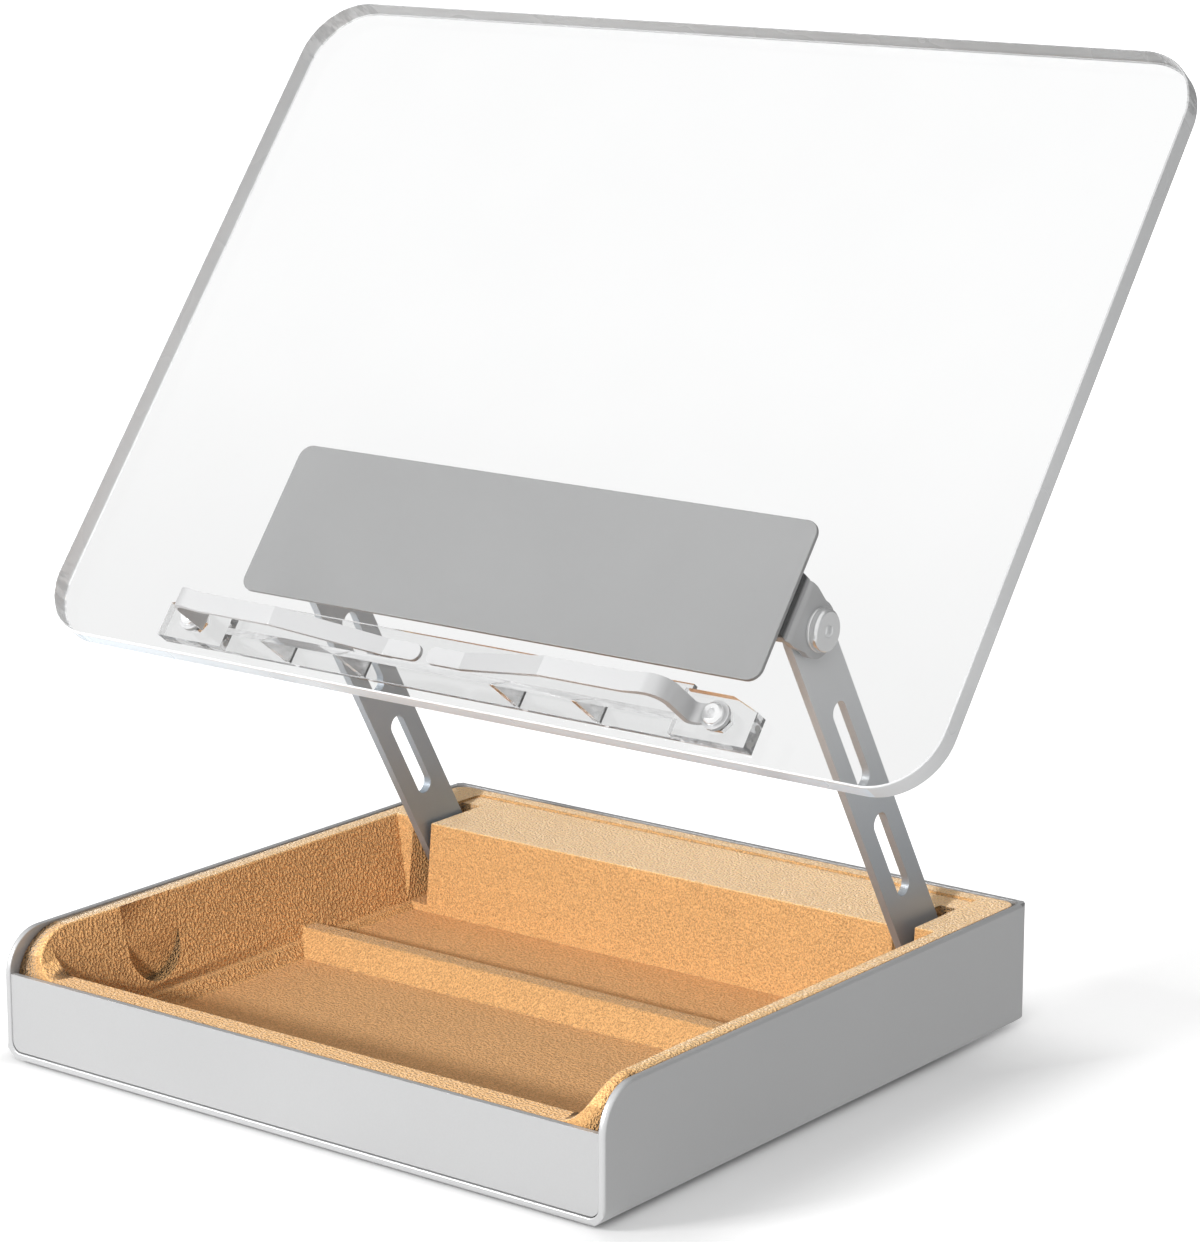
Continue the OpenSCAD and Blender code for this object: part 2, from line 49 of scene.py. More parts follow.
bodyOf = {n: b for b, members in frame["record"]["behaviour"]["bodies"].items() for n in members}
slotOf = {part["node"]: part["material_slot"] for part in frame["record"]["subparts"]}
mm = 0.001
print("frame loaded:", len(nodes), "nodes")


# camera of the photograph, 1200 x 1242 with a long lens
cameraSetup = {"place": (0.64471, -0.80379, 0.35975), "lens": 118.487, "turn": 37.604, "down": 13.162}


def makeCamera(setup):
    data = bpy.data.cameras.new("photoCamera")
    data.lens = setup["lens"]
    data.sensor_width = 36
    data.sensor_fit = "HORIZONTAL"
    camera = bpy.data.objects.new("photoCamera", data)
    camera.location = setup["place"]
    camera.rotation_euler = (math.radians(90 - setup["down"]), 0, math.radians(setup["turn"]))
    bpy.context.scene.collection.objects.link(camera)
    bpy.context.scene.camera = camera


makeCamera(cameraSetup)


# small helpers for node trees: a socket given as a value is linked, anything else is typed in
def feed(tree, socket, value):
    if isinstance(value, bpy.types.NodeSocket):
        tree.links.new(value, socket)
    else:
        socket.default_value = value


def addNode(tree, kind, settings=None, **inputs):
    made = tree.nodes.new(kind)
    for key, value in (settings or {}).items():
        setattr(made, key, value)
    for key, value in inputs.items():
        feed(tree, made.inputs[key.replace("_", " ")], value)
    return made


def calc(tree, operation, first, second=0.0, third=0.0):
    made = tree.nodes.new("ShaderNodeMath")
    made.operation = operation
    for socket, value in zip(made.inputs, (first, second, third)):
        feed(tree, socket, value)
    return made.outputs[0]


def remap(tree, value, low, high, toLow, toHigh):
    made = addNode(tree, "ShaderNodeMapRange", {"interpolation_type": "SMOOTHSTEP"}, Value=value,
                   From_Min=low, From_Max=high, To_Min=toLow, To_Max=toHigh)
    return made.outputs["Result"]


def blendColor(tree, factor, first, second, how="MIX"):
    made = tree.nodes.new("ShaderNodeMix")
    made.data_type = "RGBA"
    made.blend_type = how
    feed(tree, made.inputs[0], factor)
    feed(tree, made.inputs[6], first)
    feed(tree, made.inputs[7], second)
    return made.outputs[2]


def mixValue(tree, factor, first, second):
    made = tree.nodes.new("ShaderNodeMix")
    feed(tree, made.inputs[0], factor)
    feed(tree, made.inputs[2], first)
    feed(tree, made.inputs[3], second)
    return made.outputs[0]


def shaded(tree, color, shade):
    grey = addNode(tree, "ShaderNodeCombineColor", Red=shade, Green=shade, Blue=shade).outputs[0]
    return blendColor(tree, 1.0, (*color, 1), grey, "MULTIPLY")


def objectPlace(tree):
    return addNode(tree, "ShaderNodeTexCoord").outputs["Object"]


def turnedPlace(tree, place=(0, 0, 0), turn=(0, 0, 0), stretch=(1, 1, 1)):
    mapping = addNode(tree, "ShaderNodeMapping", {"vector_type": "TEXTURE"}, Vector=objectPlace(tree),
                      Location=place, Rotation=turn)
    scaled = addNode(tree, "ShaderNodeMapping", Vector=mapping.outputs[0], Scale=stretch)
    return scaled.outputs[0]


def noise(tree, place, scale, detail=2.0, roughness=0.5):
    made = addNode(tree, "ShaderNodeTexNoise", Vector=place, Scale=scale, Detail=detail, Roughness=roughness)
    return made.outputs["Fac"]


def startGroup(name, inputs, outputs):
    group = bpy.data.node_groups.new(name, "ShaderNodeTree")
    for label, value in inputs:
        group.interface.new_socket(name=label, in_out="INPUT", socket_type="NodeSocketFloat").default_value = value
    for label in outputs:
        group.interface.new_socket(name=label, in_out="OUTPUT", socket_type="NodeSocketFloat")
    return group, addNode(group, "NodeGroupInput").outputs, addNode(group, "NodeGroupOutput").inputs


# bead-blasted grain with a slow drift of tone, for every anodised or machined metal
def makeSatinGrain():
    group, given, out = startGroup("satinGrain", [("Grain Scale", 2600.0), ("Drift Scale", 18.0), ("Contrast", 0.06)],
                                   ["Shade", "Polish", "Height"])
    place = objectPlace(group)
    grain = noise(group, place, given["Grain Scale"], 3.0, 0.6)
    drift = noise(group, place, given["Drift Scale"], 2.0, 0.5)
    fine = calc(group, "MULTIPLY", calc(group, "SUBTRACT", grain, 0.5), given["Contrast"])
    slow = calc(group, "MULTIPLY", calc(group, "SUBTRACT", drift, 0.5), 0.05)
    feed(group, out["Shade"], calc(group, "ADD", 1.0, calc(group, "ADD", fine, slow)))
    feed(group, out["Polish"], calc(group, "MULTIPLY", calc(group, "SUBTRACT", drift, grain), 0.12))
    feed(group, out["Height"], grain)
    return group


# pebbled skin of the tray lining: soft low bumps with fine pores over them and a slow change of tone
def makeHideGrain():
    group, given, out = startGroup("hideGrain", [("Pebble Scale", 1000.0), ("Pore Scale", 2600.0), ("Pebble Depth", 0.5),
                                                 ("Speckle", 0.12)], ["Shade", "Height"])
    place = objectPlace(group)
    pebble = remap(group, noise(group, place, given["Pebble Scale"], 1.0, 0.4), 0.3, 0.7, -0.5, 0.5)
    pores = calc(group, "SUBTRACT", noise(group, place, given["Pore Scale"], 3.0, 0.65), 0.5)
    cloud = calc(group, "SUBTRACT", noise(group, place, 45.0, 3.0, 0.55), 0.5)
    dip = calc(group, "MULTIPLY", pebble, given["Pebble Depth"])
    dots = calc(group, "MULTIPLY", pores, given["Speckle"])
    tone = calc(group, "ADD", calc(group, "MULTIPLY_ADD", dip, 0.28, dots), calc(group, "MULTIPLY", cloud, 0.1))
    feed(group, out["Shade"], calc(group, "MINIMUM", calc(group, "ADD", 1.0, tone), 1.24))
    feed(group, out["Height"], calc(group, "MULTIPLY_ADD", pores, 0.5, dip))
    return group


satinGrain = makeSatinGrain()
hideGrain = makeHideGrain()


def startMaterial(name):
    material = bpy.data.materials.new(name)
    material.use_nodes = True
    return material, material.node_tree, material.node_tree.nodes["Principled BSDF"]


def placeGroup(tree, group, **inputs):
    made = addNode(tree, "ShaderNodeGroup", {"node_tree": group}, **inputs)
    return made.outputs


def addBump(tree, shader, height, depth, strength):
    bump = addNode(tree, "ShaderNodeBump", Height=height, Distance=depth, Strength=strength)
    feed(tree, shader.inputs["Normal"], bump.outputs[0])


def metal(name, color, metallic, roughness, grain=2600.0, contrast=0.06, strength=0.12, low=None):
    material, tree, shader = startMaterial(name)
    skin = placeGroup(tree, satinGrain, Grain_Scale=grain, Contrast=contrast)
    tone = shaded(tree, color, skin["Shade"])
    # painted shade: given a low colour, the piece turns darker and bluer towards its foot, fully so 30 mm up and not
    # at all above 140 mm
    if low:
        height = addNode(tree, "ShaderNodeSeparateXYZ", Vector=objectPlace(tree)).outputs["Z"]
        tone = blendColor(tree, remap(tree, height, 0.03, 0.14, 0.0, 1.0), shaded(tree, low, skin["Shade"]), tone)
    feed(tree, shader.inputs["Base Color"], tone)
    feed(tree, shader.inputs["Roughness"], calc(tree, "ADD", skin["Polish"], roughness))
    shader.inputs["Metallic"].default_value = metallic
    addBump(tree, shader, skin["Height"], 0.00006, strength)
    return material


def lining(name, color, pebble, pores, depth, speckle, bumpDepth, sheen):
    material, tree, shader = startMaterial(name)
    skin = placeGroup(tree, hideGrain, Pebble_Scale=pebble, Pore_Scale=pores, Pebble_Depth=depth, Speckle=speckle)
    feed(tree, shader.inputs["Base Color"], shaded(tree, color, skin["Shade"]))
    feed(tree, shader.inputs["Roughness"], remap(tree, skin["Height"], -0.4, 0.4, 0.72, 0.56))
    shader.inputs["Specular IOR Level"].default_value = 0.3
    shader.inputs["Sheen Weight"].default_value = sheen
    shader.inputs["Sheen Roughness"].default_value = 0.4
    shader.inputs["Sheen Tint"].default_value = (1.0, 0.86, 0.7, 1)
    addBump(tree, shader, skin["Height"], bumpDepth, 0.8)
    return material


def moulded(name, color, roughness, grain, depth):
    material, tree, shader = startMaterial(name)
    skin = placeGroup(tree, satinGrain, Grain_Scale=grain, Contrast=0.3)
    feed(tree, shader.inputs["Base Color"], shaded(tree, color, skin["Shade"]))
    feed(tree, shader.inputs["Roughness"], calc(tree, "ADD", skin["Polish"], roughness))
    addBump(tree, shader, skin["Height"], depth, 0.35)
    return material


# polished cast sheet with painted shade that greys it towards its foot, and a trace of haze from wiping
def clearSheet(name, bend, gloss, tone):
    material, tree, shader = startMaterial(name)
    place = objectPlace(tree)
    haze = noise(tree, place, 34.0, 4.0, 0.6)
    height = addNode(tree, "ShaderNodeSeparateXYZ", Vector=place).outputs["Z"]
    # painted shade: the sheet darkens from its head tone down to its foot tone between the given heights
    paintedShading = remap(tree, height, tone["low"], tone["high"], tone["foot"], tone["head"])
    paintedShadeAndHaze = calc(tree, "MULTIPLY", paintedShading, remap(tree, haze, 0.3, 0.7, 0.99, 1.0))
    feed(tree, shader.inputs["Base Color"], shaded(tree, (0.997, 1.0, 1.0), paintedShadeAndHaze))
    feed(tree, shader.inputs["Roughness"], remap(tree, haze, 0.35, 0.8, 0.0, 0.012))
    shader.inputs["Transmission Weight"].default_value = 1.0
    shader.inputs["IOR"].default_value = bend
    shader.inputs["Coat Weight"].default_value = gloss
    return material


# sawn and flame-polished rim of the sheet, with painted reflections: light and dark strokes across it at the rounded
# corners; painted shade keeps it lighter at the left and the foot and darker to the right and along the top
def sheetRim(name, frameTurn, middle, corner, color, see):
    material, tree, shader = startMaterial(name)
    place = turnedPlace(tree, middle, frameTurn, (1, 1, 1))
    axes = addNode(tree, "ShaderNodeSeparateXYZ", Vector=place).outputs
    strokes = noise(tree, addNode(tree, "ShaderNodeMapping", Vector=place, Scale=(300, 300, 90)).outputs[0], 1.0, 3.0, 0.6)
    # painted reflections: light and dark strokes across the rim at the corners along the left and the top
    across = remap(tree, calc(tree, "ABSOLUTE", axes["X"]), corner[0] - 0.004, corner[0] + 0.004, 0.0, 1.0)
    along = remap(tree, calc(tree, "ABSOLUTE", axes["Y"]), corner[1] - 0.004, corner[1] + 0.004, 0.0, 1.0)
    strokedSides = calc(tree, "MAXIMUM", remap(tree, axes["X"], -0.02, 0.02, 1.0, 0.0), remap(tree, axes["Y"], -0.02, 0.02, 0.0, 1.0))
    paintedCornerStrokes = calc(tree, "MULTIPLY", strokedSides, calc(tree, "MULTIPLY", across, along))
    paintedStreakTone = remap(tree, strokes, 0.36, 0.64, 0.72, 1.1)
    even = remap(tree, noise(tree, place, 24.0, 2.0, 0.5), 0.3, 0.7, 0.96, 1.03)
    # painted shade: lighter at the left and the foot, darker to the right, and darker still along the top
    paintedShading = calc(tree, "MULTIPLY", remap(tree, axes["Y"], -corner[1], corner[1], 1.06, 0.82),
                remap(tree, axes["X"], -corner[0], corner[0], 1.22, 0.9))
    head = remap(tree, axes["Y"], corner[1] + 0.0165, corner[1] + 0.018, 1.0, 0.76)
    mixed = calc(tree, "MULTIPLY", calc(tree, "MULTIPLY", paintedShading, head), mixValue(tree, paintedCornerStrokes, even, paintedStreakTone))
    feed(tree, shader.inputs["Base Color"], shaded(tree, color, mixed))
    feed(tree, shader.inputs["Roughness"], mixValue(tree, paintedCornerStrokes, remap(tree, even, 0.96, 1.03, 0.3, 0.26),
                                                    remap(tree, strokes, 0.3, 0.7, 0.2, 0.36)))
    shader.inputs["Transmission Weight"].default_value = see
    shader.inputs["IOR"].default_value = 1.49
    return material


# sawn narrow edges of the clear ledge, greyer than its faces, with painted reflections: light and dark streaks along
# them
def sawnEdgePaintedStreaks(name, tone, see):
    material, tree, shader = startMaterial(name)
    # painted reflections: light and dark streaks in the edge's colour
    streaks = noise(tree, turnedPlace(tree, stretch=(25, 700, 700)), 1.0, 3.0, 0.6)
    paintedStreakTone = remap(tree, streaks, 0.3, 0.7, 0.8, 1.08)
    feed(tree, shader.inputs["Base Color"], shaded(tree, (tone, tone * 1.005, tone * 1.01), paintedStreakTone))
    feed(tree, shader.inputs["Roughness"], remap(tree, streaks, 0.3, 0.7, 0.12, 0.03))
    shader.inputs["Transmission Weight"].default_value = see
    shader.inputs["IOR"].default_value = 1.49
    return material


# black pad whose lower half is wrapped by the bent edge of the hinge bracket, painted grey there, with painted shade
# in the gradient between the two across the bend
def wrappedPadPaintedBendShade(name, frameTurn, middle, dark, wrap):
    material, tree, shader = startMaterial(name)
    depth = addNode(tree, "ShaderNodeSeparateXYZ", Vector=turnedPlace(tree, middle, frameTurn)).outputs["Z"]
    skin = placeGroup(tree, satinGrain, Grain_Scale=1100.0, Contrast=0.3)
    # painted shade: the gradient from black to grey stands for the shading across the bracket's bend
    bent = remap(tree, depth, wrap, dark, 1.0, 0.0)
    tone = blendColor(tree, bent, (0.022, 0.022, 0.023, 1), (0.34, 0.342, 0.345, 1))
    grey = addNode(tree, "ShaderNodeCombineColor", Red=skin["Shade"], Green=skin["Shade"], Blue=skin["Shade"]).outputs[0]
    feed(tree, shader.inputs["Base Color"], blendColor(tree, 1.0, tone, grey, "MULTIPLY"))
    feed(tree, shader.inputs["Roughness"], calc(tree, "ADD", skin["Polish"], mixValue(tree, bent, 0.8, 0.45)))
    addBump(tree, shader, skin["Height"], 0.0001, 0.3)
    return material


# the finish of each material slot
finishes = {
    "shell": metal("shellAnodised", (0.575, 0.578, 0.58), 0.5, 0.42),
    "front": metal("frontAnodised", (0.56, 0.562, 0.564), 0.5, 0.42),
    # painted shade: the arms darker and bluer towards their foot
    "arm": metal("armAnodisedPaintedShade", (0.73, 0.735, 0.74), 0.25, 0.4, low=(0.33, 0.358, 0.385)),
    "plate": metal("plateAnodised", (0.33, 0.331, 0.332), 0.4, 0.42),
    "clip": metal("clipAnodised", (0.56, 0.562, 0.565), 0.35, 0.36),
    "bright_screw": metal("brightSteel", (0.93, 0.932, 0.935), 0.85, 0.22, 1800.0, 0.03, 0.02),
    "steel": metal("platedSteel", (0.50, 0.50, 0.49), 0.85, 0.32, 1500.0, 0.1, 0.08),
    "liner": lining("liningFine", (0.675, 0.375, 0.148), 1600.0, 2600.0, 1.0, 2.2, 0.00035, 0.3),
    "rubber": moulded("footRubber", (0.028, 0.028, 0.03), 0.72, 1600.0, 0.0001),
    "pad": moulded("padFoam", (0.022, 0.022, 0.023), 0.8, 1100.0, 0.0002),
    "friction": moulded("frictionFibre", (0.05, 0.047, 0.045), 0.75, 1300.0, 0.00015),
    "nylon": moulded("washerNylon", (0.78, 0.77, 0.72), 0.45, 900.0, 0.00005),
    "acrylic": clearSheet("ledgeSheet", 1.49, 0.0, {"low": 0.0, "high": 0.3, "foot": 0.86, "head": 0.9}),
}
# painted light: the lining is one hide, but these copies are coloured lighter by where they lie, a little on the side
# walls and the floor, much more on the rims and the ledge top
liningCoarse = lining("liningCoarse", (0.78, 0.42, 0.165), 1250.0, 2600.0, 1.25, 1.1, 0.0009, 0.2)
liningFloor = lining("liningFloor", (0.76, 0.41, 0.165), 1400.0, 2600.0, 0.8, 1.3, 0.0004, 0.12)
liningTopPaintedLight = lining("liningTopPaintedLight", (1.0, 0.62, 0.27), 1400.0, 2300.0, 1.0, 1.8, 0.0004, 1.0)
liningRimPaintedLight = lining("liningRimPaintedLight", (0.98, 0.56, 0.225), 1400.0, 2300.0, 1.0, 1.8, 0.0004, 0.5)
earFinish = metal("earAnodised", (0.50, 0.502, 0.505), 0.35, 0.4)
# polish with a painted highlight: the lip copy of the shell finish is smoother and also lighter
polishedLipPaintedHighlight = metal("polishedLipPaintedHighlight", (0.64, 0.643, 0.646), 0.6, 0.32, 1800.0, 0.03, 0.04)
# painted shade: a darker copy of the lip finish for the rear wall top
rearLipPaintedShade = metal("rearLipPaintedShade", (0.36, 0.365, 0.37), 0.6, 0.36, 1800.0, 0.03, 0.04)
# painted shade: the left arm, seen on its inner side, gets a darker and bluer copy of the arm finish, also darker
# towards its foot
innerArm = metal("innerArmAnodisedPaintedShade", (0.59, 0.63, 0.67), 0.25, 0.4, low=(0.335, 0.385, 0.435))
print("materials made:", len(bpy.data.materials))


# a merged copy of a node's solid, with its flat faces whole again
def nodeCopy(node):
    bm = bmesh.new()
    bm.from_mesh(nodes[node].data)
    bmesh.ops.remove_doubles(bm, verts=bm.verts, dist=0.001 * mm)
    bmesh.ops.dissolve_limit(bm, angle_limit=math.radians(1), verts=bm.verts, edges=bm.edges)
    for face in bm.faces:
        face.material_index = 0
    return bm


def sharpEdges(bm, angle=30):
    return [e for e in bm.edges if len(e.link_faces) == 2 and e.calc_face_angle() > math.radians(angle)]


def roundOver(bm, edges, radius, segments=2, clamp=True):
    return bmesh.ops.bevel(bm, geom=edges, offset=radius * mm, offset_type="OFFSET", affect="EDGES", segments=segments,
                           profile=0.5, material=-1, clamp_overlap=clamp)["faces"]


def middle(edge):
    return (edge.verts[0].co + edge.verts[1].co) / 2 / mm


def makePiece(bm, name, materials, *stoodFor, smooth=38):
    mesh = bpy.data.meshes.new(name)
    bm.to_mesh(mesh)
    bm.free()
    for material in materials:
        mesh.materials.append(material)
    mesh.shade_smooth()
    mesh.set_sharp_from_angle(angle=math.radians(smooth))
    piece = bpy.data.objects.new(name, mesh)
    bpy.context.scene.collection.objects.link(piece)
    even = piece.modifiers.new("evenShading", "WEIGHTED_NORMAL")
    even.keep_sharp = True
    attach(piece, bodyOf[stoodFor[0]])
    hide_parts(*stoodFor)
    return piece


# the panel's own frame, read from its solid: middle of the front face, with x across, y up the sheet, z out of it
def panelFrame():
    bm = nodeCopy("acrylic_panel")
    front = max((f for f in bm.faces if f.normal.z > 0), key=lambda f: f.calc_area())
    out = front.normal.copy()
    middle = front.calc_center_median()
    bm.free()
    side = Vector((1, 0, 0))
    up = out.cross(side)
    turn = Matrix((side, up, out)).transposed().to_4x4()
    return Matrix.Translation(middle) @ turn


onPanel = panelFrame()
offPanel = onPanel.inverted()
panelTurn = math.acos(onPanel[1][1])

# clear reading panel: a routed sheet with rounded corners and softened rims
sheet = {"name": "readingPanel", "corner": 18.5, "cornerSteps": 20, "rim": 0.6, "airGap": 0.05, "clear": 1.02, "gloss": 0.4,
         "tone": {"low": 0.1, "high": 0.2, "foot": 0.9, "head": 0.985}}


def makeReadingPanel(given):
    local = [offPanel @ v.co for v in nodes["acrylic_panel"].data.vertices]
    halfWide = max(p.x for p in local)
    halfHigh = max(p.y for p in local)
    deep = min(p.z for p in local) + given["airGap"] * mm
    bm = bmesh.new()
    corners = [bm.verts.new((x * halfWide, y * halfHigh, deep)) for x, y in ((-1, -1), (1, -1), (1, 1), (-1, 1))]
    face = bm.faces.new(corners)
    bmesh.ops.bevel(bm, geom=corners, offset=given["corner"] * mm, offset_type="OFFSET", affect="VERTICES",
                    segments=given["cornerSteps"], profile=0.5, material=-1)
    face = bm.faces[:][0]
    raised = bmesh.ops.extrude_face_region(bm, geom=[face], use_keep_orig=True)
    lifted = [g for g in raised["geom"] if isinstance(g, bmesh.types.BMVert)]
    bmesh.ops.translate(bm, vec=(0, 0, -deep), verts=lifted)
    bmesh.ops.recalc_face_normals(bm, faces=bm.faces)
    bm.normal_update()
    roundOver(bm, sharpEdges(bm, 60), given["rim"], 2)
    bm.normal_update()
    for f in bm.faces:
        if abs(f.normal.z) < 0.99:
            f.material_index = 2 if f.normal.y < -0.985 else 1
    bm.transform(onPanel)
    corner = (halfWide - given["corner"] * mm, halfHigh - given["corner"] * mm)
    rim = sheetRim("sheetRim", (panelTurn, 0, 0), onPanel.translation, corner, (0.74, 0.745, 0.75), 0.08)
    # the foot rim's cool blue tint is painted against the warm light bounced up from the tray
    foot = sheetRim("sheetFoot", (panelTurn, 0, 0), onPanel.translation, corner, (0.75, 0.86, 0.96), 0.2)
    clear = clearSheet("clearSheet", given["clear"], given["gloss"], given["tone"])
    piece = makePiece(bm, given["name"], [clear, rim, foot], "acrylic_panel")
    piece.visible_shadow = False
    return piece


makeReadingPanel(sheet)

# clear page ledge, kept a hair off the panel so that the two sheets stay separate
ledge = {"name": "pageLedge", "rim": 0.25, "airGap": 0.06, "narrow": 3.2, "small": 150}


def makePageLedge(given):
    bm = nodeCopy("page_ledge")
    for f in roundOver(bm, sharpEdges(bm, 40), given["rim"], 2):
        f.material_index = 1
    for f in bm.faces:
        if 2 * f.calc_area() / f.calc_perimeter() < given["narrow"] * mm:
            f.material_index = 1
    bm.transform(offPanel)
    bm.normal_update()
    for f in bm.faces:
        if f.normal.y > 0.9 and f.calc_area() < given["small"] * mm * mm:
            f.material_index = 1
    for v in bm.verts:
        v.co.z = max(v.co.z, given["airGap"] * mm)
    bm.transform(onPanel)
    piece = makePiece(bm, given["name"], [finishes["acrylic"], sawnEdgePaintedStreaks("ledgeEdge", 0.78, 0.78)], "page_ledge")
    piece.visible_shadow = False
    return piece


makePageLedge(ledge)
print("clear sheet pieces made")

# folded aluminium page clips: wide bends where the strip rises, soft folds along it, thin broken edges all round
clips = {"names": ("pageClipLeft", "pageClipRight"), "fold": 2.2, "foldSteps": 5, "tabBend": 2.2, "bladeBend": 5.0,
         "bendSteps": 8, "rim": 0.18, "tabRun": 3.1, "bladeRun": 11.0}


def makeClip(given, name, node):
    bm = nodeCopy(node)
    bm.transform(offPanel)

    def bends():
        return [e for e in sharpEdges(bm, 80) if abs(e.verts[0].co.y - e.verts[1].co.y) > 3 * mm
                and abs(e.verts[0].co.x - e.verts[1].co.x) < 0.05 * mm and abs(e.verts[0].co.z - e.verts[1].co.z) < 0.05 * mm]

    outs = [abs(middle(e).x) for e in bends()]
    wall = (min(outs) + max(outs)) / 2
    thick = max(outs) - min(outs)
    levels = [middle(e).z for e in bends()]
    half = (min(levels) + max(levels)) / 2

    # the strip turns gently beside the riser, so that the wide bends have room
    for v in bm.verts:
        away = abs(v.co.x) / mm - wall
        if 1.5 < abs(away) < 2.5:
            v.co.x = math.copysign((wall + (given["tabRun"] if away > 0 else -given["bladeRun"])) * mm, v.co.x)
    for radius, below in ((given["tabBend"], True), (given["bladeBend"], False)):
        for convex in (True, False):
            chosen = [e for e in bends() if (middle(e).z < half) == below and e.is_convex == convex]
            roundOver(bm, chosen, radius + (thick if convex else 0), given["bendSteps"], False)
    folds = [e for e in sharpEdges(bm, 12) if e.calc_length() > 3 * mm and e.calc_face_angle() < math.radians(60)
             and abs(middle(e).x) < wall - 15]
    roundOver(bm, folds, given["fold"], given["foldSteps"])
    roundOver(bm, sharpEdges(bm, 50), given["rim"], 2)
    bm.transform(onPanel)
    return makePiece(bm, name, [finishes["clip"]], node)


for clipName, clipNode in zip(clips["names"], ("clip_left", "clip_right")):
    makeClip(clips, clipName, clipNode)
print("page clips made")

# tray lining: rounded lips and posts, filleted inner corners, coarser hide on the side walls
tray = {"name": "trayLining", "lip": 0.5, "lipSteps": 3, "step": 0.5, "stepSteps": 2, "coarseWall": 0.75, "scoopTop": 25.5,
        "scoopLow": 13.0, "scoopDeep": 5.0, "wallArea": 200, "rearTop": 40}


def makeTray(given):
    low, high = (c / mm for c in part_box("tray_liner"))
    bm = nodeCopy("tray_liner")

    # the finger scoops fade into the side walls below the rim
    def inScoop(point):
        return -60.6 < point.y < -40.0 and 80 < abs(point.x) < high.x - 1

    wall = max((f for f in bm.faces if f.normal.x > 0.5 and f.calc_center_median().x < 0), key=lambda f: f.calc_area())
    scoops = [f for f in bm.faces if all(inScoop(v.co / mm) for v in f.verts) and f.calc_center_median().z > 11 * mm]
    hollow = list({g for f in scoops for g in (*f.verts, *f.edges)}) + scoops
    bmesh.ops.bisect_plane(bm, geom=hollow, dist=0.001 * mm, plane_co=(0, 0, given["scoopTop"] * mm), plane_no=(0, 0, 1))
    foot = wall.verts[0].co
    back = max(abs(v.co.x) for v in bm.verts if inScoop(v.co / mm)) - 0.1 * mm
    for v in bm.verts:
        if inScoop(v.co / mm) and (abs(v.co.x) > back or v.co.z > (given["scoopTop"] - 0.01) * mm):
            reach = abs(foot.x - ((v.co.z - foot.z) * wall.normal.z) / wall.normal.x)
            depth = max(0.0, min(1.0, (given["scoopTop"] - v.co.z / mm) / (given["scoopTop"] - given["scoopLow"])))
            v.co.x = math.copysign(reach + depth * given["scoopDeep"] * mm, v.co.x)

    # upper edges that show: not the outer sides, the hinge pockets or the small step in front of the rear rim
    def shows(edge):
        m = middle(edge)
        outer = abs(m.x) > high.x - 0.5 or m.y > high.y - 0.5 or m.y < low.y + 0.3
        pocket = abs(m.x) < 82.5 and 58 < m.y < 81 and (m.z < 34 or not edge.is_convex)
        rearStep = m.y > 80 and m.z > 34
        cove = abs(m.y + 87.4) < 0.2 and m.z > 12 and (abs(m.x) > 84 or not edge.is_convex)
        scoop = abs(m.x) > 85 and -61.5 < m.y < -39 and m.z > 11
        return not (outer or pocket or rearStep or cove or scoop)

    upper = [e for e in sharpEdges(bm) if shows(e) and max(v.co.z for v in e.verts) > 20 * mm]
    roundOver(bm, upper, given["lip"], given["lipSteps"], False)
    lower = [e for e in sharpEdges(bm) if shows(e) and 5.5 < min(v.co.z for v in e.verts) / mm
             and max(v.co.z for v in e.verts) < 15 * mm and middle(e).y < 57]
    roundOver(bm, lower, given["step"], given["stepSteps"], False)
    bm.normal_update()
    # painted light: faces take the lighter lining copies by the way they face and how high they lie
    for f in bm.faces:
        height = f.calc_center_median().z / mm
        if abs(f.normal.x) > given["coarseWall"] and f.calc_area() > given["wallArea"] * mm * mm:
            f.material_index = 1
        elif f.normal.z > 0.9 and height < 12:
            f.material_index = 2
        elif f.normal.z > 0.6 and height > 20:
            f.material_index = 3 if f.calc_center_median().y > given["rearTop"] * mm else 4
    return makePiece(bm, given["name"], [finishes["liner"], liningCoarse, liningFloor, liningTopPaintedLight, liningRimPaintedLight], "tray_liner", smooth=50)


trayPiece = makeTray(tray)
print("tray lining made")

# base shell: a bent trough whose wall tops and front lips are polished and rounded; the lips are partly lighter as a
# painted highlight, and the rear wall top is painted darker as shade
shell = {"name": "baseShell", "outer": 0.9, "inner": 0.35, "steps": 4, "noseLow": 23}


def makeShell(given):
    low, high = (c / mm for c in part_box("base_shell"))
    bm = nodeCopy("base_shell")

    def onLip(point):
        return point.z > high.z - 0.05 or point.y < low.y + 0.05 or (point.y < low.y + 13 and point.z > given["noseLow"])

    lips = [e for e in sharpEdges(bm, 50) if all(onLip(v.co / mm) for v in e.verts)]
    outer = [e for e in lips if abs(middle(e).x) > high.x - 0.3 or middle(e).y > high.y - 0.3
             or (middle(e).z < low.z + 0.3 and middle(e).y < low.y + 0.3)]
    roundOver(bm, outer, given["outer"], given["steps"], False)
    inner = [e for e in sharpEdges(bm, 50) if all(onLip(v.co / mm) for v in e.verts)]
    roundOver(bm, inner, given["inner"], 2, False)
    bm.normal_update()
    for f in bm.faces:
        m = f.calc_center_median() / mm
        front = f.normal.y < -0.3 and m.y < low.y + 13
        top = f.normal.z > 0.3 and m.z > given["noseLow"]
        # painted highlight on the front and top lips, painted shade on the rear wall top
        f.material_index = (2 if m.y > high.y - 4 else 1) if front or top else 0
    return makePiece(bm, given["name"], [finishes["shell"], polishedLipPaintedHighlight, rearLipPaintedShade], "base_shell")


makeShell(shell)
print("base shell made")

